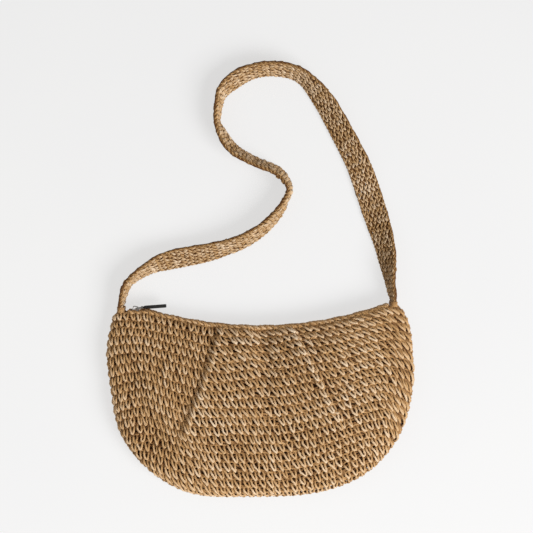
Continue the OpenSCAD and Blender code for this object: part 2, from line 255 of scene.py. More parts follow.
class Paint:
    """A material. Most methods add one node to it and give that node's output."""

    def __init__(self, name):
        self.material = bpy.data.materials.new(name)
        self.material.use_nodes = True
        self.tree = self.material.node_tree
        self.shader = self.tree.nodes["Principled BSDF"]

    def fill(self, socket, value):
        """Links an input to another node's output, or gives it a value."""
        if isinstance(value, bpy.types.NodeSocket):
            self.tree.links.new(value, socket)
        else:
            socket.default_value = value

    def coat(self, colour, roughness, **others):
        """Sets the shader's inputs. The others go by their own names, with _ for a space."""
        inputs = {"Base Color": colour, "Roughness": roughness}
        inputs.update((key.replace("_", " "), value) for key, value in others.items())
        for key, value in inputs.items():
            self.fill(self.shader.inputs[key], value)

    def node(self, kind, output, inputs, **settings):
        made = self.tree.nodes.new(kind)
        for key, value in settings.items():
            setattr(made, key, value)
        for key, value in inputs.items():
            self.fill(made.inputs[key], value)
        return made.outputs[output]

    def place(self):
        return self.node("ShaderNodeTexCoord", "Object", {})

    def attribute(self, name, output="Vector"):
        return self.node("ShaderNodeAttribute", output, {}, attribute_name=name)

    def part(self, vector, axis):
        return self.node("ShaderNodeSeparateXYZ", axis, {0: vector})

    def math(self, operation, *values):
        return self.node("ShaderNodeMath", 0, dict(enumerate(values)), operation=operation)

    def weighted(self, value, weight, rest=0.0):
        """The value times its weight, plus the rest."""
        return self.math("MULTIPLY_ADD", value, weight, rest)

    def scaled(self, vector, scale):
        return self.node("ShaderNodeVectorMath", 0, {0: vector, 1: scale}, operation="MULTIPLY")

    def noise(self, vector, scale, detail=3.0, roughness=0.5):
        inputs = {"Vector": vector, "Scale": scale, "Detail": detail, "Roughness": roughness}
        return self.node("ShaderNodeTexNoise", "Fac", inputs)

    def ramp(self, fac, *stops):
        made = self.tree.nodes.new("ShaderNodeValToRGB")
        self.tree.links.new(fac, made.inputs["Fac"])
        elements = made.color_ramp.elements
        while len(elements) < len(stops):
            elements.new(0.5)
        for element, (place, colour) in zip(elements, stops):
            element.position = place
            element.color = (*colour, 1)
        return made.outputs["Color"]

    def bump(self, height, distance, strength):
        inputs = {"Height": height, "Distance": distance, "Strength": strength}
        self.fill(self.shader.inputs["Normal"], self.node("ShaderNodeBump", "Normal", inputs))


STRAW_GRAIN = 160                # streaks for each metre of yarn, before the noise's own scale
THREAD_GRAIN = 3000


def straw_material(name, dark, mid, light, grain=STRAW_GRAIN):
    """Twisted paper straw: long streaks along the yarn, a tone for each stitch with the painted shade and
    highlights carried in it, and a soft sheen.
    """
    paint = Paint(name)
    yarn = paint.attribute("yarn")
    streaks = paint.noise(paint.scaled(yarn, (grain, 3, 3)), 1.6, 4, 0.65)
    fibres = paint.noise(paint.scaled(yarn, (2 * grain, 6, 6)), 1.5, 3, 0.6)
    patches = paint.noise(paint.place(), 22)
    blend = paint.weighted(streaks, 0.9, paint.attribute("tone", "Fac"))
    blend = paint.weighted(patches, 0.12, blend)
    blend = paint.weighted(fibres, 0.2, blend)
    fac = paint.math("SUBTRACT", blend, 0.555)
    colour = paint.ramp(fac, (0.08, dark), (0.45, mid), (0.82, light))
    paint.coat(colour, paint.weighted(fibres, 0.35, 0.38), Sheen_Weight=0.06, Specular_IOR_Level=0.2)
    height = paint.weighted(streaks, 0.7, paint.weighted(fibres, 0.3))
    paint.bump(height, 0.6 * MM * STRAW_GRAIN / grain, 0.9)
    return paint.material


def woven_material(name, dark, light, pitch):
    """Plain woven cloth: crossing threads of the given pitch, in metres."""
    paint = Paint(name)
    place = paint.place()
    inputs = {"Vector": place, "Scale": 0.05 / pitch * 2 * math.pi, "Distortion": 0.6, "Detail": 1}
    warp = paint.node("ShaderNodeTexWave", "Fac", inputs, bands_direction="X")
    weft = paint.node("ShaderNodeTexWave", "Fac", inputs, bands_direction="Y")
    weave = paint.math("MULTIPLY", warp, weft)
    patches = paint.noise(place, 60, 4)
    fac = paint.weighted(weave, 0.5, paint.weighted(patches, 0.5))
    paint.coat(paint.ramp(fac, (0.1, dark), (0.8, light)), 0.85, Sheen_Weight=0.2)
    paint.bump(weave, 0.15 * MM, 0.7)
    return paint.material


def metal_material():
    """Nickel plate with fine scratches and a little dulling."""
    paint = Paint("slider_nickel")
    place = paint.place()
    scratches = paint.noise(paint.scaled(place, (300, 3000, 300)), 1)
    dull = paint.noise(place, 400)
    colour = paint.ramp(dull, (0.2, (0.28, 0.27, 0.26)), (0.8, (0.5, 0.49, 0.48)))
    paint.coat(colour, paint.weighted(dull, 0.2, 0.14), Metallic=1)
    paint.bump(scratches, 0.02 * MM, 0.5)
    return paint.material


def enamel_material():
    """Black enamel with a faint orange-peel surface and patches that have dulled."""
    paint = Paint("pull_enamel")
    place = paint.place()
    peel = paint.noise(place, 1500, 2)
    wear = paint.noise(place, 250, 4)
    colour = paint.ramp(wear, (0.3, (0.006, 0.006, 0.007)), (0.8, (0.02, 0.019, 0.018)))
    paint.coat(colour, paint.weighted(wear, 0.25, 0.2))
    paint.bump(peel, 0.02 * MM, 0.6)
    return paint.material


def coil_material():
    """Brown nylon monofilament."""
    paint = Paint("nylon_coil")
    patches = paint.noise(paint.place(), 300)
    colour = paint.ramp(patches, (0.2, (0.055, 0.03, 0.016)), (0.8, (0.12, 0.07, 0.04)))
    paint.coat(colour, paint.weighted(patches, 0.2, 0.3))
    paint.bump(patches, 0.03 * MM, 0.4)
    return paint.material


def herringbone_material(dark, light):
    """Zip tape: ribs that turn back and forth, laid out by each point's place along and across the tape."""
    paint = Paint("herringbone_tape")
    weave = paint.attribute("weave")
    turned = paint.math("PINGPONG", paint.part(weave, "Y"), 1.1 * MM)
    along = paint.math("ADD", paint.part(weave, "X"), turned)
    ribs = paint.math("SINE", paint.math("MULTIPLY", along, 2 * math.pi / (0.55 * MM)))
    fac = paint.weighted(ribs, 0.3, paint.noise(paint.place(), 120, 4))
    paint.coat(paint.ramp(fac, (0.15, dark), (0.85, light)), 0.85, Sheen_Weight=0.15)
    paint.bump(ribs, 0.08 * MM, 0.8)
    return paint.material


STRAW = straw_material("straw", (0.12, 0.034, 0.002), (0.58, 0.34, 0.138), (0.93, 0.76, 0.56))
STRAP_STRAW = straw_material("strap_straw", (0.11, 0.036, 0.003), (0.5, 0.293, 0.112), (0.95, 0.79, 0.6))
LINING = woven_material("lining", (0.1, 0.036, 0.006), (0.19, 0.08, 0.018), 0.6 * MM)
METAL = metal_material()
ENAMEL = enamel_material()
COIL = coil_material()
TAPE = herringbone_material((0.05, 0.028, 0.014), (0.15, 0.09, 0.05))
THREAD = straw_material("sewing_thread", (0.1, 0.05, 0.02), (0.2, 0.12, 0.06), (0.3, 0.2, 0.11), THREAD_GRAIN)


# ---- The bag's outline, as in the CAD, in metres ----

HALF_W = 160 * MM
BELLY_Y = 45 * MM                # where the bag is widest
LOW_B, HIGH_B = 145 * MM, 95 * MM
SIDE_POWER = 2.6                 # how square the sides are: 2 would be an ellipse
RIM_Y = 97.3 * MM
DIP, DIP_X, DIP_HALF = 20 * MM, 6 * MM, 125 * MM
MOUTH_LEFT, MOUTH_RIGHT = -138 * MM, 133 * MM
HUB = np.array([0, -5 * MM])
CROWN = 42 * MM
MID_Z = 13 * MM
MOUTH_FRONT, MOUTH_BACK = 24 * MM, 2 * MM
SEAM_FRONT, SEAM_BACK = 14.5 * MM, 11.5 * MM
BASE_BULGE = 2 * MM
SAG_LEFT = 3.2 * MM              # how far the left side falls inside the CAD's even curve
SAG_RIGHT = 1.6 * MM             # the same beside the right corner
FULL_LEFT = 3.8 * MM             # how far the lower left corner stands outside it
ANGLES = 1440                    # directions from the hub in a panel's tables
SHARES = 240                     # steps outwards in a panel's tables

# The two rounded corners: how far in from the side, how far under the rim, and how much of the mouth each is.
LEFT_CORNER = np.array([[16, -0.2, 0.8], [9.5, 3.3, 0.4], [5.5, 9.8, 0.1]]) * [MM, MM, 1]
RIGHT_CORNER = np.array([[8, 10.3, 0.1], [11.5, 4.3, 0.4], [18, 0.5, 0.8]]) * [MM, MM, 1]


def mouth_y(x):
    return RIM_Y - DIP * np.maximum(0, 1 - ((x - DIP_X) / DIP_HALF) ** 2)


def tilt(x, y):
    """The right corner lies a little higher than the left one."""
    return y + 3 * MM * (x / (140 * MM)) * np.maximum(0, y) / (95 * MM)


def outline():
    """Points round the bag's edge and how much of the mouth each belongs to."""
    x = np.linspace(MOUTH_RIGHT, MOUTH_LEFT, 61)
    mouth = np.stack([x, mouth_y(x), np.ones(len(x))], 1)
    left = LEFT_CORNER * [1, -1, 1] + [-HALF_W, RIM_Y, 0]
    right = RIGHT_CORNER * [-1, -1, 1] + [HALF_W, RIM_Y, 0]
    a = np.radians(np.arange(164, 381, 2))
    x = HALF_W * signed_pow(np.cos(a), 2 / SIDE_POWER)
    y = BELLY_Y + np.where(np.sin(a) < 0, LOW_B, HIGH_B) * signed_pow(np.sin(a), 2 / SIDE_POWER)
    points = np.vstack([mouth, left, np.stack([x, y, np.zeros(len(a))], 1), right])
    points[:, 1] = tilt(points[:, 0], points[:, 1])
    x, y = points[:, 0].copy(), points[:, 1].copy()
    points[:, 0] += np.where(x < 0, SAG_LEFT * bell(y, 4 * MM, 30 * MM), 0)
    points[:, 0] -= np.where(x > 100 * MM, SAG_RIGHT * ease(y, 30 * MM, 25 * MM), 0)
    points[:, 1] -= np.where(y < -40 * MM, FULL_LEFT * bell(x, -74 * MM, 38 * MM), 0)
    return points


def round_off(values, width):
    """Smooths values on a closed loop with a window of the given width, twice."""
    kernel = np.ones(width) / width
    for _ in range(2):
        wrapped = np.concatenate([values[-width:], values, values[:width]])
        values = np.convolve(wrapped, kernel, "same")[width:-width]
    return values


def even_outline():
    """The outline resampled evenly, with its corners rounded off."""
    points = outline()
    closed = np.vstack([points, points[:1]])
    along = run_of(closed[:, :2])
    place = np.linspace(0, along[-1], 901)[:-1]
    even = sample(closed, along, place)
    return np.stack([round_off(even[:, i], 5) for i in range(3)], 1)


OUTLINE = even_outline()


class Panel:
    """One side of the bag: a flat sheet laid over a dome. x and y are distances on the sheet from the hub."""

    def __init__(self, front):
        self.front = front
        away = OUTLINE[:, :2] - HUB
        angle = np.unwrap(np.arctan2(away[:, 1], away[:, 0]))
        order = np.argsort(angle)
        grid = np.linspace(-math.pi, math.pi, ANGLES + 1)[:-1]
        reach, mouth, edge_y = (
            np.interp(grid, angle[order], values[order], period=2 * math.pi)
            for values in (np.linalg.norm(away, axis=1), OUTLINE[:, 2], OUTLINE[:, 1])
        )
        on_mouth = mouth > 0.9
        soft_reach = round_off(reach, 91)
        soft_mouth = round_off(ease(edge_y, 15 * MM, 75 * MM), 61)
        reach, soft_reach, mouth, soft_mouth = (v[:, None] for v in (reach, soft_reach, mouth, soft_mouth))
        r = np.sin(np.linspace(0, math.pi / 2, SHARES))[None, :]
        self.planar = r * mix(soft_reach, reach, r**5)
        share = mix(soft_mouth, mouth, r**12)
        height = self.front_height(share, r) if front else self.back_height(share, r)
        step = np.hypot(np.diff(self.planar, axis=1), np.diff(height, axis=1))
        self.length = np.concatenate([np.zeros((ANGLES, 1)), np.cumsum(step, axis=1)], axis=1)
        self.full = self.length[:, -1]
        even = np.linspace(0, 1, SHARES)
        self.radius, self.height = (
            np.stack([np.interp(even * n[-1], n, v) for n, v in zip(self.length, table)])
            for table in (self.planar, height)
        )
        line = (self.full[:, None] * np.stack([np.cos(grid), np.sin(grid)], 1))[on_mouth]
        self.mouth_line = line[np.argsort(line[:, 0])]

    def front_height(self, m, r):
        edge = mix(SEAM_FRONT, MOUTH_FRONT, m)
        dome = mix((1 - r**2.6) ** (1 / 2.2), 1 - r**2.2, m)
        return edge + (CROWN - edge) * dome

    def back_height(self, m, r):
        edge = mix(SEAM_BACK, MOUTH_BACK, m)
        dome = (1 - r**3.5) ** 0.5
        return np.maximum(edge * (1 - dome) - BASE_BULGE * dome, 0)

    def toward(self, x, y):
        """The tables' two rows on either side of a direction from the hub, and its share between them."""
        angle = (np.arctan2(y, x) + math.pi) / (2 * math.pi) * ANGLES
        i = np.floor(angle).astype(int)
        return i % ANGLES, (i + 1) % ANGLES, angle - i

    def reach(self, x, y):
        """How far the sheet goes on from the hub in the direction of a point."""
        i, j, f = self.toward(x, y)
        return mix(self.full[i], self.full[j], f)

    def share(self, x, y):
        return np.hypot(x, y) / self.reach(x, y)

    def lookup(self, table, x, y):
        i, j, f = self.toward(x, y)
        k = np.clip(self.share(x, y), 0, 1) * (SHARES - 1)
        a = np.minimum(np.floor(k).astype(int), SHARES - 2)
        low = mix(table[i, a], table[i, a + 1], k - a)
        high = mix(table[j, a], table[j, a + 1], k - a)
        return mix(low, high, f)

    def surface(self, x, y):
        scale = self.lookup(self.radius, x, y) / np.maximum(np.hypot(x, y), 1e-9)
        return np.stack([HUB[0] + x * scale, HUB[1] + y * scale, self.lookup(self.height, x, y)], -1)

    def normal(self, x, y):
        d = 1.5 * MM
        keep = np.minimum(1, 0.985 / np.maximum(self.share(x, y), 1e-9))
        x, y = x * keep, y * keep
        east = self.surface(x + d, y) - self.surface(x - d, y)
        north = self.surface(x, y + d) - self.surface(x, y - d)
        n = unit(np.cross(east, north))
        return n if self.front else -n

    def place(self, x, y, out):
        """Points at the height out over the sheet's outer surface."""
        return self.surface(x, y) + self.normal(x, y) * np.asarray(out)[..., None]

    def flat(self, x, y):
        """Where a point of the bag seen from above lies on the flat sheet."""
        away = np.array([x, y]) - HUB
        distance = np.hypot(*away)
        i = int(round((math.atan2(away[1], away[0]) + math.pi) / (2 * math.pi) * ANGLES)) % ANGLES
        return away / distance * np.interp(distance, self.planar[i], self.length[i])

    def mouth_edge(self, x):
        return np.interp(x, self.mouth_line[:, 0], self.mouth_line[:, 1])


FRONT = Panel(True)
BACK = Panel(False)

# ---- Crochet ----

STITCH = 7.8 * MM
TIGHT_SIDE = 0.87                # the stitches left of the left dart are narrower
WIDE_BOTTOM = 1.08               # the stitches near the bottom are wider
YARN_R = 1.13 * MM
UNEVEN_R = 0.06                  # spread of the yarn's thickness, as a share
ROW_TONE = 0.28                  # tone of the average row
DEPTH_SHADE = 0.145               # painted shade: the yarn is painted this much lighter for each millimetre out of the fabric, and darker deeper in
KNIT_DEPTH = 2.3 * MM            # how far the middle of the fabric lies under its outer surface
BACK_LEAN = 0.35                 # how far the back's stitches lean, as a share of their height
MOST_ROWS = 34
STEPS = 2

# One stitch: share of the stitch's width, share of the row's height and millimetres out of the fabric.
# The first yarn makes the two legs and the bight between them. The others lie across their tops and behind.
LEGS = np.array([
    [-0.07, 1.06, -1.2], [-0.03, 0.86, 0.0], [0.0, 0.6, 1.0], [0.08, 0.28, 1.5], [0.27, 0.0, 1.4],
    [0.43, 0.26, 0.9], [0.5, 0.58, 0.3], [0.54, 0.86, -0.5], [0.59, 1.06, -1.4], [0.76, 1.08, -1.8],
])
CHAIN = np.array([[0, 0.9, -1.0], [0.28, 1.02, -0.3], [0.6, 0.98, -0.2], [0.84, 0.86, -0.8]])
CHAIN_BACK = np.array([[0.1, 1.16, -1.4], [0.45, 1.18, -0.9], [0.75, 1.1, -1.1]])
BAR = np.array([[0, 0.5, -1.4], [0.5, 0.7, -1.1]])
STITCH_YARNS = ((LEGS, 1), (CHAIN, 0.95), (CHAIN_BACK, 0.9), (BAR, 0.85))


def row_of_loops(template, count, jitter=0.045):
    """The path of one yarn of a row, as shares of a stitch, shares of a row and metres out, with its tone."""
    size = len(template)
    shift = np.arange(count)[:, None, None] * np.array([1, 0, 0])
    each = random.normal(0, 1, (count, 1, 3)) * [0.06, 0.04, 0.25]
    path = template[None] + shift + each + random.normal(0, 1, (count, size, 3)) * [jitter, jitter, 0.15]
    tone = np.repeat(random.normal(0, 0.022, count), size)[:, None]
    path = path.reshape(-1, 3)
    # Painted shade: the deeper the yarn lies in the fabric, the darker it is painted.
    tone = tone + DEPTH_SHADE * (path[:, 2:] + 0.2)
    curve = curve_through(np.concatenate([path, tone], 1), STEPS)
    return curve[:, 0], curve[:, 1], curve[:, 2] * MM, curve[:, 3]


WAVES = random.uniform(-1, 1, (14, 4)) * [110, 110, math.pi, 1]


def unevenness(x, y):
    """A slow, random swell from about -1 to 1 over the fabric."""
    swell = sum(size * np.sin(fx * x + fy * y + phase) for fx, fy, phase, size in WAVES)
    return swell / math.sqrt(len(WAVES) / 6)


ROW_TOP = 2.6 * MM
FIRST_ROW_H, ROW_H = 8.2, 9.7    # millimetres, growing over the first rows
ROW_HEIGHTS = mix(FIRST_ROW_H, ROW_H, smooth_step(np.arange(40) / 6))
ROW_STARTS = ROW_TOP + np.concatenate([[0], np.cumsum(ROW_HEIGHTS)]) * MM


def row_depth(j):
    """How far row j's upper edge lies under the mouth's edge. j may be a fraction."""
    return np.interp(j, np.arange(len(ROW_STARTS)), ROW_STARTS)


# Each dart runs from the mouth towards the bottom, as seen from above.
DARTS = {
    "left": ([-42.2 * MM, 76 * MM], [-82 * MM, -36 * MM], 1),
    "right": ([36 * MM, 76 * MM], [86 * MM, -21 * MM], -1),
}
BOW = {"left": 3.6 * MM, "right": 0}             # how far the dart's middle bends towards the middle part
PLEAT = 4.2 * MM                                 # how high the middle part's edge stands
SUNK = {"left": 2.6 * MM, "right": 0.8 * MM}     # how far the side part sinks next to each dart
ROLL = {"left": 45 * MM, "right": 12 * MM}       # how soon the middle part falls behind its raised edge
KINK = {"left": -6 * MM, "right": 2.5 * MM}      # how far the rows bend at each dart
# Painted shade in the side part's crease beside each dart, and a painted highlight along the middle part's
# raised edge.
CREASE_SHADE = {"left": 0.12, "right": 0.06}
EDGE_HIGHLIGHT = {"left": 0.08, "right": 0.2}


def along_line(start, end, x, y):
    """How far along a line a place on the sheet lies, as a share, and its distance to the line's left."""
    start, end = np.array(start), np.array(end)
    length = np.linalg.norm(end - start)
    way = (end - start) / length
    t = ((x - start[0]) * way[0] + (y - start[1]) * way[1]) / length
    return t, (y - start[1]) * way[0] - (x - start[0]) * way[1]


def dart_place(side, x, y):
    """Distance from a dart into the middle part, and how deep its fold is there, from 0 to 1."""
    top, bottom, sign = DARTS[side]
    t, d = along_line(FRONT.flat(*top), FRONT.flat(*bottom), x, y)
    d = sign * d - BOW[side] * np.sin(math.pi * np.clip(t, 0, 1))
    return d, 1 - ease(t, 0.82, 0.28)


def row_y(panel, j, x):
    """The height on the sheet of row j's upper edge, at x."""
    depth = row_depth(j)
    low = smooth_step(depth / (150 * MM))
    lift = np.where(x < -30 * MM, 20 * MM, 13 * MM)
    bend = lift * low * ((x + 30 * MM) / (150 * MM)) ** 2
    for past in (-105 * MM - x, x - 98 * MM):
        bend = bend - low * np.maximum(0, past) ** 2 / (120 * MM)
    y = panel.mouth_edge(x) - depth + bend
    if not panel.front:
        return y
    kinks = 0
    for side, kink in KINK.items():
        d, fold = dart_place(side, x, y)
        near = np.maximum(0, 1 - np.abs(d) / (52 * MM))
        kinks = kinks + kink * near * np.minimum(1, fold + 0.25) * smooth_step(depth / (25 * MM))
    return y + kinks


def hollow(x, y, start, end, width):
    """A soft valley between two places seen from above: 1 along its middle and 0 outside it."""
    t, d = along_line(FRONT.flat(*start), FRONT.flat(*end), x, y)
    return bell(d, 0, width) * smooth_step(t / 0.15 + 1) * (1 - ease(t, 0.7, 0.45))


def side_valley(x, y):
    """The soft valley left of the left dart."""
    return hollow(x, y, (-134 * MM, 25 * MM), (-100 * MM, -62 * MM), 15 * MM)


def fold_height(part, x, y):
    """How far the pleats and soft valleys lift or sink the front."""
    out = -4 * MM * hollow(x, y, (2 * MM, 78 * MM), (8 * MM, 5 * MM), 11 * MM)
    out = out - 4 * MM * side_valley(x, y)
    from_mouth = smooth_step((FRONT.mouth_edge(x) - y) / (22 * MM))
    for side in DARTS:
        d, fold = dart_place(side, x, y)
        if part == "side":
            out = out - SUNK[side] * fold * np.exp(-np.abs(d) / (10 * MM))
        else:
            t = np.clip((d + 0.5 * MM) / (3.5 * MM), 0, 1)
            rise = np.sqrt(np.maximum(0, 1 - (1 - t) ** 2)) * np.exp(-np.maximum(0, d) / ROLL[side])
            out = out + PLEAT * fold * rise * mix(0.25, 1, from_mouth)
    return out


def fold_light_and_shade(part, x, y):
    """Painted light and shade in the yarn's tone: a painted highlight along each pleat's raised edge, and
    painted shade in the creases, in the side valley and towards both sides.
    """
    tone = -0.06 * side_valley(x, y) - 0.03 * ease(-x, 60 * MM, 30 * MM) - 0.1 * ease(x, 125 * MM, 25 * MM)
    for side in DARTS:
        d, fold = dart_place(side, x, y)
        if part == "side":
            tone = tone - CREASE_SHADE[side] * fold * np.exp(-np.abs(d) / (6 * MM))
        else:
            tone = tone + EDGE_HIGHLIGHT[side] * fold * bell(d, 2 * MM, 5 * MM)
    return tone


def lean_at(panel, x, y, depth):
    """How far the stitches lean, as a share of their height: least left of the left dart, most at the top."""
    if not panel.front:
        return BACK_LEAN
    inside = ease(dart_place("left", x, y)[0], -8 * MM, 16 * MM)
    corner = 0.35 * ease(x, 50 * MM, 60 * MM)
    return 0.17 + inside * (0.2 + (0.6 + corner) * math.exp(-depth / (45 * MM)))


def row_edges(panel, j):
    """The lowest and highest x of row j on the sheet, or None where the sheet has no such row."""
    x = np.linspace(-220 * MM, 220 * MM, 1761)
    inside = panel.share(x, row_y(panel, j + 0.5, x)) < 0.995
    if not inside.any():
        return None
    middle = x[inside][np.argmin(np.abs(x[inside]))]
    gaps = x[~inside]
    return gaps[gaps < middle].max(initial=x[0]), gaps[gaps > middle].min(initial=x[-1])


def crochet_row(yarn, panel, j, x_from, x_to, part):
    """One stretch of a row between two places, worked into yarn."""
    x = np.linspace(x_from - 20 * MM, x_to + 20 * MM, 400)
    along = run_of(np.stack([x, row_y(panel, j + 0.5, x)], 1))
    start, end = np.interp([x_from, x_to], x, along)
    wide = STITCH * mix(1, WIDE_BOTTOM, ease(row_depth(j), 130 * MM, 40 * MM))
    wide = wide * (TIGHT_SIDE if part == "side" and x_from < 0 else 1)
    count = max(1, int(round((end - start) / wide)))
    pitch = (end - start) / count
    row_h = row_depth(j + 1) - row_depth(j)
    row_tone = ROW_TONE + random.normal(0, 0.02)
    for template, thick in STITCH_YARNS:
        u, v, w, tone = row_of_loops(template, count)
        px = np.interp(start + u * pitch, along, x)
        lean = lean_at(panel, px, row_y(panel, j + 0.5, px), row_depth(j))
        px = px - lean * (v - 0.5) * row_h
        py = row_y(panel, j + 1 - v, px)
        px, py = px + 0.6 * MM * unevenness(py, px), py + 0.5 * MM * unevenness(px, py)
        bulge = np.sin(math.pi * np.clip(v, 0, 1))
        keep = np.minimum(1, (0.983 + 0.021 * bulge) / np.maximum(panel.share(px, py), 1e-9))
        px, py = px * keep, py * keep
        out = w - KNIT_DEPTH + 0.25 * MM * unevenness(px + 0.1, py)
        out = out + ease(panel.share(px, py), 0.9, 0.09) * 1.7 * MM * (bulge - 0.55)
        if panel.front:
            out = out + fold_height(part, px, py)
            # The pleats' and valleys' painted light and shade.
            tone = tone + fold_light_and_shade(part, px, py)
        radius = YARN_R * thick * (1 + random.normal(0, UNEVEN_R, len(px)))
        yarn.add(panel.place(px, py, out), radius, tone + row_tone)


def dart_x(side, j):
    """Where row j meets a dart, and how deep the fold is there."""
    x = np.linspace(-130 * MM, 130 * MM, 521)
    d, fold = dart_place(side, x, row_y(FRONT, j + 0.5, x))
    i = np.argmin(np.abs(d))
    return x[i], fold[i]


def crochet_panel(panel, name, cad_node):
    """Every row of one panel, in four pieces from the mouth down."""
    rows = [(j, row_edges(panel, j)) for j in range(MOST_ROWS)]
    rows = [(j, edges) for j, edges in rows if edges and edges[1] - edges[0] > 30 * MM]
    size = math.ceil(len(rows) / 4)
    under, over = 4 * MM, 0.5 * MM
    for first in range(0, len(rows), size):
        yarn = Yarn()
        for j, (left, right) in rows[first:first + size]:
            (x_left, fold_left), (x_right, fold_right) = dart_x("left", j), dart_x("right", j)
            if panel.front and min(fold_left, fold_right) > 0.12:
                crochet_row(yarn, panel, j, left, x_left + under, "side")
                crochet_row(yarn, panel, j, x_left - over, x_right + over, "middle")
                crochet_row(yarn, panel, j, x_right - under, right, "side")
            else:
                crochet_row(yarn, panel, j, left, right, "whole")
        straw_piece(yarn, f"{name}_{first // size + 1}", cad_node)


def straw_piece(yarn, name, cad_node):
    return finish(yarn.build(name, LOWEST), cad_node, STRAW)


# ---- Strap ----

# The strap's route, as in the CAD: x, y and how far it leans from lying flat, from the left end.
ROUTE = np.array([
    [-144.8, 94.4, 90], [-144.8, 98, 88], [-141, 114, 81], [-134, 124.5, 79], [-115, 137.5, 65],
    [-98.5, 144, 48], [-81.5, 148, 43], [-55.5, 153, 48], [-35.5, 158.5, 57], [-19, 164.5, 61],
    [-1, 175, 66], [11, 185.5, 71], [20.5, 197, 76], [26.5, 207.5, 83], [30.5, 218.5, 83],
    [27, 228.5, 76], [16.5, 239, 71], [-5.5, 248, 70], [-26, 259.5, 67], [-35.5, 270, 68],
    [-41.5, 281.5, 75], [-45, 291.5, 83], [-42.5, 312, 77], [-38, 322.5, 68], [-25, 334, 58],
    [-9, 341.5, 64], [10, 344.5, 65], [31, 342, 65], [47.5, 333, 61], [65, 312.5, 42],
    [77.5, 292, 34], [100, 249.5, 24], [108.5, 228.5, 12], [115.5, 208, 8], [128, 166.5, 38],
    [132, 145.5, 53], [134.5, 124.5, 73], [137, 110, 78], [138.2, 104, 88], [138.2, 100.2, 90],
]) * [MM, MM, 1]
STRAP_W = 24 * MM
STRAP_T = 5 * MM
STRAP_ROOT_W = 20 * MM
STRAP_ACROSS = 5                 # stitches across the strap
STRAP_ROW_H = 4.3 * MM
STRAP_YARN = 0.88 * MM
STRAP_EDGE = 0.6 * MM            # how much narrower the rows are than the whole strap
ROOT_SUNK = 5 * MM               # how far each strap end goes on between the panels
TAPER = 45 * MM                  # over which the strap narrows towards each end
CORE_LINES = 8                   # yarns laid in along the strap
CORE_R, CORD_R = 1.75 * MM, 0.8 * MM

# The strap's short rows run across it. The legs show on its face and the bars on its back.
STRAP_LEGS = np.array([
    [-0.08, 1.12, -0.8], [0.0, 0.7, 0.9], [0.24, -0.02, 1.35],
    [0.47, 0.66, 0.9], [0.58, 1.1, -0.7], [0.74, 1.16, -1.2],
])
STRAP_BARS = np.array([[0, 0.0, -1.7], [0.4, 1.0, -2.0], [0.75, 0.5, -1.7]])
STRAP_YARNS = ((STRAP_LEGS, 1, 0.27), (STRAP_BARS, 1.05, 0.58))     # with how thick and how pale each is


class Band:
    """The strap's middle surface: along it, across it and out of it."""

    def __init__(self):
        line = curve_through(ROUTE, 12)
        lean = np.radians(np.minimum(line[:, 2], 90))
        side = np.pad(side_of(unit(np.gradient(line[:, :2], axis=0))), ((0, 0), (0, 1)))
        rise = np.array([0, 0, 1.0])
        z = STRAP_W / 2 * np.sin(lean) + STRAP_T / 2 * np.cos(lean)
        self.middle = np.stack([line[:, 0], line[:, 1], z], 1)
        self.wide = side * np.cos(lean)[:, None] + rise * np.sin(lean)[:, None]
        self.thick = rise * np.cos(lean)[:, None] - side * np.sin(lean)[:, None]
        self.along = run_of(self.middle)
        self.length = self.along[-1]

    def place(self, s, q, w):
        """Points s along the strap, q across it and w out of it. It goes straight on past both ends."""
        middle, wide, thick = (sample(table, self.along, s) for table in (self.middle, self.wide, self.thick))
        middle[:, 1] -= np.maximum(0, -s) + np.maximum(0, s - self.length)
        narrow = mix(STRAP_ROOT_W / STRAP_W, 1, smooth_step(np.minimum(s, self.length - s) / TAPER))
        return middle + wide * (q * narrow)[:, None] + thick * w[:, None]


BAND = Band()


def make_strap():
    """Short rows of stitches that lean to and fro, over a core of laid-in yarn, with two corded edges."""
    yarn = Yarn()
    inner = STRAP_W - STRAP_EDGE
    wide = inner / STRAP_ACROSS
    whole = BAND.length + 2 * ROOT_SUNK
    count = int(round(whole / STRAP_ROW_H))
    pitch = whole / count
    for row in range(count):
        way = 1 if row % 2 else -1
        row_tone = random.normal(0, 0.03)
        for template, thick, pale in STRAP_YARNS:
            u, v, w, tone = row_of_loops(template, STRAP_ACROSS, 0.07)
            s = (row + 1 - v) * pitch - ROOT_SUNK
            q = way * (inner / 2 - (u + 0.35 * (v - 0.5)) * wide)
            path = BAND.place(s, np.clip(q, -inner / 2, inner / 2), w)
            yarn.add(path, STRAP_YARN * thick, tone + pale + row_tone, sides=5)
    s = np.arange(-ROOT_SUNK, BAND.length + ROOT_SUNK, 4 * MM)
    for line in range(CORE_LINES):
        q = mix(-0.48, 0.48, line / (CORE_LINES - 1)) * inner + 0.4 * MM * np.sin(s * 300 + line)
        yarn.add(BAND.place(s, q, np.full(len(s), -0.7 * MM)), CORE_R, 0.02, sides=5)
    s = np.arange(-ROOT_SUNK, BAND.length + ROOT_SUNK, 1.5 * MM)
    for edge in (-1, 1):
        for strand in (0, math.pi):
            turn = s * math.pi / pitch + strand
            q = edge * (inner / 2 + 0.1 * MM + 0.75 * MM * np.cos(turn))
            tone = 0.25 + 0.12 * np.sin(s * 1300 + strand * 2 + edge)
            yarn.add(BAND.place(s, q, 0.2 * MM + 1 * MM * np.sin(turn)), CORD_R, tone, sides=5)
    return finish(yarn.build("strap_crochet", LOWEST), "strap", STRAP_STRAW)


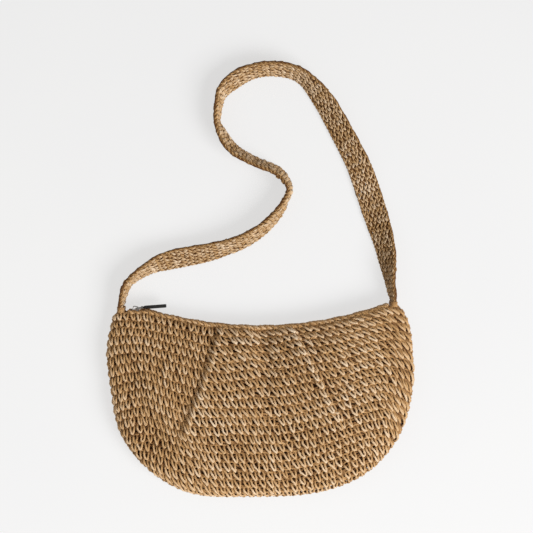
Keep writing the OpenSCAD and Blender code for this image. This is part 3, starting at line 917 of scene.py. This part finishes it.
def make_join(side, at):
    """Whipping yarn wound four times round a strap end."""
    turns = 4
    t = np.linspace(0, turns, turns * 40)
    angle = t * 2 * math.pi
    half_x, half_z = STRAP_T / 2 + 0.9 * MM, STRAP_ROOT_W / 2 + 0.6 * MM
    x = at[0] + signed_pow(np.cos(angle), 0.6) * half_x + 0.15 * MM * np.sin(t * 9)
    y = at[1] - 3.4 * MM + t * 1.5 * MM + 0.35 * MM * np.sin(angle + t)
    z = STRAP_W / 2 + signed_pow(np.sin(angle), 0.6) * half_z
    yarn = Yarn()
    yarn.add(np.stack([x, y, z], 1), 0.82 * MM, 0.27 + 0.08 * np.sin(t * 7))
    return finish(yarn.build(f"strap_whipping_{side}"), f"strap_join_{side}", STRAW)


# ---- Mouth edging and side seam ----

RIM_FRONT_Z, RIM_BACK_Z = 21.5 * MM, 4.5 * MM
RIM_TWIST = 13 * MM              # the length of one turn of the edging's two yarns
SCALLOP, SCALLOP_PITCH = 1.4 * MM, 8.6 * MM


def overcast(yarn, line, across, half_across, half_up, pitch, radius):
    """Yarn wound round a level line: half_across is its reach in the direction across, and half_up in +Z."""
    along = run_of(line)
    turns = along[-1] / pitch
    t = np.linspace(0, turns, int(turns * 14))
    angle = t * 2 * math.pi + 0.25 * np.sin(t * 2.3)
    s = t * pitch + 0.25 * pitch * np.sin(angle)
    wave = 1 + 0.07 * np.sin(t * 1.7) + 0.05 * np.sin(t * 4.1)
    reach = signed_pow(np.cos(angle), 0.7) * half_across * wave
    path = sample(line, along, s) + sample(across, along, s) * reach[:, None]
    path[:, 2] += signed_pow(np.sin(angle), 0.7) * half_up * wave
    yarn.add(path, radius, 0.3 + 0.06 * np.sin(t * 5.3))


def make_rim(name, cad_node, z):
    """The mouth's edging: slip stitches, which look like two thick yarns laid round each other."""
    low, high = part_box(cad_node)
    x = np.linspace(low.x + 1 * MM, high.x - 1 * MM, 900)
    y = tilt(x, mouth_y(x)) - 2.1 * MM + 0.3 * MM * np.sin(x * 260)
    if z > MID_Z:
        y = y - 1.3 * MM * bell(x, -126 * MM, 13 * MM)
    yarn = Yarn()
    for strand in (0, math.pi):
        turn = x * 2 * math.pi / RIM_TWIST + strand + 0.4 * np.sin(x * 180)
        path = np.stack([x, y + 1.05 * MM * np.cos(turn), z + 1.2 * MM * np.sin(turn)], 1)
        yarn.add(path, 1.25 * MM, 0.4 + 0.08 * np.sin(x * 400 + strand))
    level = np.full(len(x), z)
    yarn.add(np.stack([x, y - 1.5 * MM, level], 1), 1.1 * MM, 0.3)
    line = np.stack([x, y - 0.3 * MM, level], 1)
    across = np.tile([0, 1.0, 0], (len(x), 1))
    overcast(yarn, line, across, 1.7 * MM, 1.9 * MM, 6.5 * MM, 0.85 * MM)
    straw_piece(yarn, name, cad_node)


def make_side_seam():
    """The seam round the sides and the bottom: yarn worked over the panels' edges."""
    edge = OUTLINE[OUTLINE[:, 2] < 0.75][:, :2]
    away = unit(edge - HUB)
    scallop = SCALLOP * np.abs(np.sin(math.pi * run_of(edge) / SCALLOP_PITCH))
    sunk = mix(3.2 * MM, 2.2 * MM, ease(-edge[:, 1], 55 * MM, 30 * MM))
    line = np.column_stack([edge - away * (sunk - scallop)[:, None], np.full(len(edge), MID_Z)])
    yarn = Yarn()
    yarn.add(line, 1.5 * MM, 0.12)
    overcast(yarn, line, np.pad(away, ((0, 0), (0, 1))), 1.1 * MM, 2.7 * MM, 3.6 * MM, 1.05 * MM)
    straw_piece(yarn, "side_seam_yarn", "side_seam")


# ---- Linings ----


def make_lining(panel, name, cad_node, depth):
    """A sheet just inside the crochet, with soft puckers."""
    rings, around = 60, 240
    share = np.linspace(0.002, 0.985, rings)[:, None]
    angle = np.linspace(0, 2 * math.pi, around, endpoint=False)[None, :]
    x, y = np.cos(angle), np.sin(angle)
    full = panel.reach(x, y)
    x, y = (share * full * x).ravel(), (share * full * y).ravel()
    out = 0.35 * MM * np.sin(x * 260 + 3 * np.sin(y * 70)) * np.cos(y * 210 + 2 * np.sin(x * 60)) - depth
    if panel.front:
        out = out + np.minimum(0, fold_height("side", x, y))
    centre = np.arange(around)[None, ::-1]
    sheet = mesh_object(name, panel.place(x, y, out), [skin(rings, around), centre])
    sheet.modifiers.new("cloth", "SOLIDIFY").thickness = 0.4 * MM
    flat = float(np.ptp(x)), float(np.ptp(y))
    finish(sheet, cad_node, LINING)


# ---- Zip ----

ZIP_R = 500 * MM
ZIP_CY = 574 * MM                # the zip's curve is centred here, on the +Y side
TAPE_EDGE, TAPE_T, TAPE_FOLD = 5.8 * MM, 0.6 * MM, 10 * MM
TAPE_FROM, TAPE_TO = -138.7 * MM, 133.5 * MM
CHAIN_FROM, CHAIN_TO = -135.9 * MM, 130.2 * MM
TEETH_IN, TEETH_W, TEETH_T = 0.65 * MM, 1.85 * MM, 2.2 * MM
STOP_HALF = 0.7                  # millimetres


def zip_place(s, out, z):
    """Points by their distance along the zip from its middle, out of the bag and over the zip's plane."""
    angle = s / ZIP_R
    reach = ZIP_R - out
    return np.stack([np.sin(angle) * reach, ZIP_CY - np.cos(angle) * reach, MID_Z + z + 0 * angle], -1)


def make_coil(name, cad_node, way):
    """One row of teeth: a nylon wire wound in a flat coil, with the cord that runs through it."""
    wire = 0.36 * MM
    turns = (CHAIN_TO - CHAIN_FROM) / (1.2 * MM)
    t = np.linspace(0, turns, int(turns * 12))
    angle = t * 2 * math.pi + (math.pi if way < 0 else 0)
    z = TEETH_IN + TEETH_W / 2 + (TEETH_W / 2 - wire) * signed_pow(np.cos(angle), 0.8)
    out = (TEETH_T / 2 - wire) * signed_pow(np.sin(angle), 0.8)
    yarn = Yarn()
    yarn.add(zip_place(mix(CHAIN_FROM, CHAIN_TO, t / turns), out, way * z), wire, 0, sides=6, flat=0)
    s = np.linspace(CHAIN_FROM, CHAIN_TO, 200)
    yarn.add(zip_place(s, 0 * s, way * (TEETH_IN + TEETH_W / 2) + 0 * s), 0.4 * MM, 0, sides=6)
    finish(yarn.build(name), cad_node, COIL)


def make_tape(name, cad_node, way):
    """A tape that comes from under the teeth, turns down and runs into the bag along the mouth."""
    bend = np.linspace(0, math.pi / 2, 6)
    radius = 0.7 * MM
    level = TEETH_IN + TEETH_W + 0.1 * MM
    upright = TAPE_EDGE - TAPE_T / 2
    by_teeth = np.column_stack([np.zeros(6), np.linspace(level, upright - radius, 6)])
    corner = np.column_stack([np.cos(bend[1:]) - 1, np.sin(bend[1:])]) * radius + [0, upright - radius]
    down = np.column_stack([np.linspace(-radius, -TAPE_FOLD, 15)[1:], np.full(14, upright)])
    line = np.vstack([by_teeth, corner, down])
    side = side_of(unit(np.gradient(line, axis=0))) * TAPE_T / 2
    loop = np.vstack([line + side, (line - side)[::-1]])
    s = np.linspace(TAPE_FROM, TAPE_TO, 360)[:, None]
    ripple = 0.12 * MM * np.sin(s * 130 + 2 * np.sin(s * 31)) * np.minimum(1, -loop[:, 0] / (3 * MM))
    points = zip_place(s + 0 * loop[:, 0], loop[:, 0] + 0 * s, way * (loop[:, 1] + ripple))
    rings, sides = points.shape[:2]
    across = run_of(loop)
    weave = np.stack([s + 0 * across, across + 0 * s, 0 * s + 0 * across], -1)
    tape = mesh_object(
        name, points.reshape(-1, 3), [skin(rings, sides), skin_ends(rings, sides)],
        {"weave": weave.reshape(-1, 3)},
    )
    finish(tape, cad_node, TAPE)


def make_stitches(name, cad_node, way):
    """A row of straight stitches along the inside of a tape."""
    yarn = Yarn()
    z = TAPE_EDGE - TAPE_T - 0.3 * MM
    for s in np.arange(TAPE_FROM + 3 * MM, TAPE_TO - 5 * MM, 3.1 * MM):
        t = np.linspace(0, 1, 7)
        out = -2.9 * MM + random.normal(0, 0.08 * MM) + 0 * t
        path = zip_place(s + 2.5 * MM * t, out, way * (z + 0.3 * MM * (1 - np.sin(math.pi * t)) ** 2))
        yarn.add(path, 0.19 * MM, 0.3, sides=6, twist=7000)
    finish(yarn.build(name), cad_node, THREAD)


def make_dart_stitching(side, start, end):
    """Sewing yarn that runs to and fro across a dart's fold, inside the bag."""
    a, b = FRONT.flat(*start), FRONT.flat(*end)
    length = np.linalg.norm(b - a)
    along = (b - a) / length
    t = np.linspace(0, length, 260)
    turn = t * 2 * math.pi / (6 * MM)
    swing = 1.3 * MM * np.sin(turn)
    x, y = a[0] + along[0] * t - along[1] * swing, a[1] + along[1] * t + along[0] * swing
    depth = 4.7 * MM + 0.2 * MM * np.cos(2 * turn)
    yarn = Yarn()
    path = FRONT.place(x, y, np.minimum(0, fold_height("side", x, y)) - depth)
    yarn.add(path, 0.42 * MM, 0.3, sides=6, twist=3000)
    finish(yarn.build(f"dart_sewing_{side}"), f"dart_stitching_{side}", THREAD)


# ---- Slider, link and pull ----


def round_box(low, high, corner):
    """A loop round a rectangle with rounded corners, anticlockwise."""
    low, high = np.array(low) + corner, np.array(high) - corner
    corners = []
    for start, x, y in ((0, high, high), (90, low, high), (180, low, low), (270, high, low)):
        a = np.radians(start + np.linspace(0, 90, 7))
        corners.append(np.stack([x[0] + corner * np.cos(a), y[1] + corner * np.sin(a)], 1))
    return np.vstack(corners)


def loop_of(half_x, half_y, power_x, power_y, count=64):
    a = np.linspace(0, 2 * math.pi, count, endpoint=False)
    return np.stack([half_x * signed_pow(np.cos(a), power_x), half_y * signed_pow(np.sin(a), power_y)], 1)


def turned_place(origin, degrees, order):
    """Turns local points into the bag's frame. order says which local coordinate is along, out and up."""
    c, s = math.cos(math.radians(degrees)), math.sin(math.radians(degrees))

    def place(points):
        x, y, z = (points[:, n] for n in order)
        return np.stack([origin[0] + c * x - s * y, origin[1] + s * x + c * y, origin[2] + z], 1)

    return place


SLIDER_TURN = -15.03
SLIDER_AT = zip_place(np.radians(SLIDER_TURN) * ZIP_R, 0, 0)
HOOK = turned_place(SLIDER_AT, SLIDER_TURN, (0, 1, 2))(np.array([[-0.5, 3.9, 0]]) * MM)[0]
LINK_TURN, LINK_L, BAR_TURN = 8.5, 6, 4.2

# The slider's bridge, seen along the pin: along the chain and out of the mouth.
BRIDGE = np.array([
    [-4.1, 2.2], [-4.1, 3.4], [-4, 4.7], [-3.2, 5.6], [-1.1, 5.75],
    [1, 5.6], [1.8, 4.7], [1.9, 3.4], [1.9, 2.2],
])
EYE = turned_place(HOOK, LINK_TURN, (0, 1, 2))(np.array([[LINK_L, 0, 0]]) * MM)[0]


def make_slider():
    """Two shaped plates over and under the chain, a post and side walls between them, and the bridge."""
    flat = turned_place(SLIDER_AT, SLIDER_TURN, (0, 2, 1))
    upright = turned_place(SLIDER_AT, SLIDER_TURN, (0, 1, 2))
    solid = Solid()
    shape = loop_of(6.5, 4.65, 0.6, 0.8)
    for side in (-1, 1):
        solid.plate(shape, side * 1.9, 1, 0.35, flat)
        for z in (-4.55, 3.65):
            solid.plate(round_box([-4.5, z], [1.5, z + 0.9], 0.3), side * 1.1, 0.9, 0.15, flat)
    solid.plate(round_box([-5.5, -0.45], [-2, 0.45], 0.4), 0, 3, 0.05, flat)
    line = curve_through(BRIDGE, 6)
    side = side_of(unit(np.gradient(line, axis=0)))
    ring = loop_of(0.45, 1, 0.6, 0.6, 20)
    flat_part = line[:, None] + side[:, None] * ring[None, :, :1]
    upright_part = np.broadcast_to(ring[None, :, 1:], (len(line), len(ring), 1))
    solid.sweep(np.concatenate([flat_part, upright_part], -1), False, upright)
    finish(solid.build("zip_slider"), "slider_body", METAL, "slider")


def make_link():
    """Two arms with a pin through each end."""
    upright = turned_place(HOOK, LINK_TURN, (0, 1, 2))
    solid = Solid()
    arm = round_box([-0.9, -0.9], [LINK_L + 0.9, 0.9], 0.88)
    for side in (-1, 1):
        solid.plate(arm, side * 2, 0.8, 0.2, upright)
    for x in (0, LINK_L):
        solid.plate(loop_of(0.6, 0.6, 1, 1, 32) + [x, 0], 0, 4.1, 0.1, upright)
    finish(solid.build("slider_link"), "pull_link", METAL, "pull_link")


def make_pull():
    """The black bar, its neck and the eye that the link's pin goes through."""
    upright = turned_place(EYE, BAR_TURN, (0, 1, 2))
    solid = Solid()
    a = np.linspace(0, 2 * math.pi, 48, endpoint=False)[:, None]
    ring = loop_of(0.38, 1.3, 0.5, 0.4, 24)
    reach = 1.1 + ring[None, :, 0]
    solid.sweep(np.stack([reach * np.cos(a), reach * np.sin(a), ring[None, :, 1] + 0 * a], -1), True, upright)
    solid.plate(round_box([1.15, -1.15], [2.8, 1.15], 0.2), 0, 2.5, 0.3, upright)
    solid.plate(round_box([2.2, -1.8], [25.3, 1.8], 0.8), 0, 5, 0.6, upright)
    finish(solid.build("bar_pull"), "pull_bar", ENAMEL, "pull_bar")


def make_stop(solid, at, half_z, middle=0):
    """A crimped block, at metres along the chain. The other sizes are in millimetres."""
    box = round_box([-STOP_HALF, middle - half_z], [STOP_HALF, middle + half_z], 0.3)
    solid.plate(box, 0, TEETH_T / MM, 0.3, lambda p: zip_place(at + p[:, 0], p[:, 2], p[:, 1]))


def make_stops():
    """The metal stops at the two ends of the chain: one on each row of teeth, and one over both."""
    top, bottom = Solid(), Solid()
    for side in (-1, 1):
        make_stop(top, CHAIN_FROM - 0.78 * MM, 0.92, side * (TEETH_IN + TEETH_W / 2) / MM)
    make_stop(bottom, CHAIN_TO + 0.82 * MM, 2.5)
    finish(top.build("end_stops"), "zip_top_stops", METAL)
    finish(bottom.build("end_stop"), "zip_bottom_stop", METAL)


# ---- Stage ----

FLOOR_HALF = 3.0
FLOOR_GLOW = 0.66                # the floor glows a little, so that its shadows are as soft as the photo's
FLOOR_FADE = 0.09                # how much less it glows for each metre up the picture


def make_floor():
    corners = np.array([(-1, -1, 0), (1, -1, 0), (1, 1, 0), (-1, 1, 0)]) * FLOOR_HALF
    floor = mesh_object("floor", corners, [np.array([[0, 1, 2, 3]])])
    paint = Paint("floor_paper")
    place = paint.place()
    tone = paint.noise(place, 3, 2)
    colour = paint.ramp(tone, (0.3, (0.225, 0.225, 0.23)), (0.7, (0.24, 0.24, 0.24)))
    fade = paint.math("MULTIPLY", paint.part(place, "Y"), FLOOR_FADE)
    glow = paint.math("SUBTRACT", FLOOR_GLOW, fade)
    paint.coat(colour, 0.9, Specular_IOR_Level=0.1, Emission_Color=(1, 1, 1, 1), Emission_Strength=glow)
    floor.data.materials.append(paint.material)


def make_lights():
    world = bpy.data.worlds.new("studio")
    world.use_nodes = True
    background = world.node_tree.nodes["Background"]
    background.inputs["Color"].default_value = (1, 0.96, 0.9, 1)
    background.inputs["Strength"].default_value = 0.32
    bpy.context.scene.world = world
    for name, place, size, power in (
        ("key", (2.6, -1.7, 2.8), 2.4, 205), ("fill", (-1.6, 1.0, 2.4), 2.0, 6),
    ):
        data = bpy.data.lights.new(name, "AREA")
        data.size = size
        data.energy = power
        lamp = bpy.data.objects.new(name, data)
        lamp.location = place
        lamp.rotation_euler = (Vector((0, 0.1, 0)) - Vector(place)).to_track_quat("-Z", "Y").to_euler()
        bpy.context.scene.collection.objects.link(lamp)


# ---- Making ----

strap = make_strap()
joins = [make_join("left", ROUTE[0]), make_join("right", ROUTE[-1])]
tuple(BAND.middle[0])
[tuple(p) for p in BAND.middle[::4]]
crochet_panel(FRONT, "front_crochet", "front_panel")
crochet_panel(BACK, "back_crochet", "back_panel")
make_rim("front_edging", "front_rim", RIM_FRONT_Z)
make_rim("back_edging", "back_rim", RIM_BACK_Z)
make_side_seam()
make_lining(FRONT, "front_lining", "lining_front", 5.6 * MM)
make_lining(BACK, "back_lining", "lining_back", 4.2 * MM)
for way, word in ((1, "front"), (-1, "back")):
    make_coil(f"coil_{word}", f"zip_teeth_{word}", way)
    make_tape(f"tape_{word}", f"zip_tape_{word}", way)
    make_stitches(f"tape_sewing_{word}", f"zip_stitching_{word}", way)
make_dart_stitching("left", (-49 * MM, 60 * MM), (-80 * MM, -22 * MM))
make_dart_stitching("right", (43 * MM, 60 * MM), (79 * MM, -16 * MM))
make_slider()
make_link()
make_pull()
make_stops()
make_floor()
make_lights()
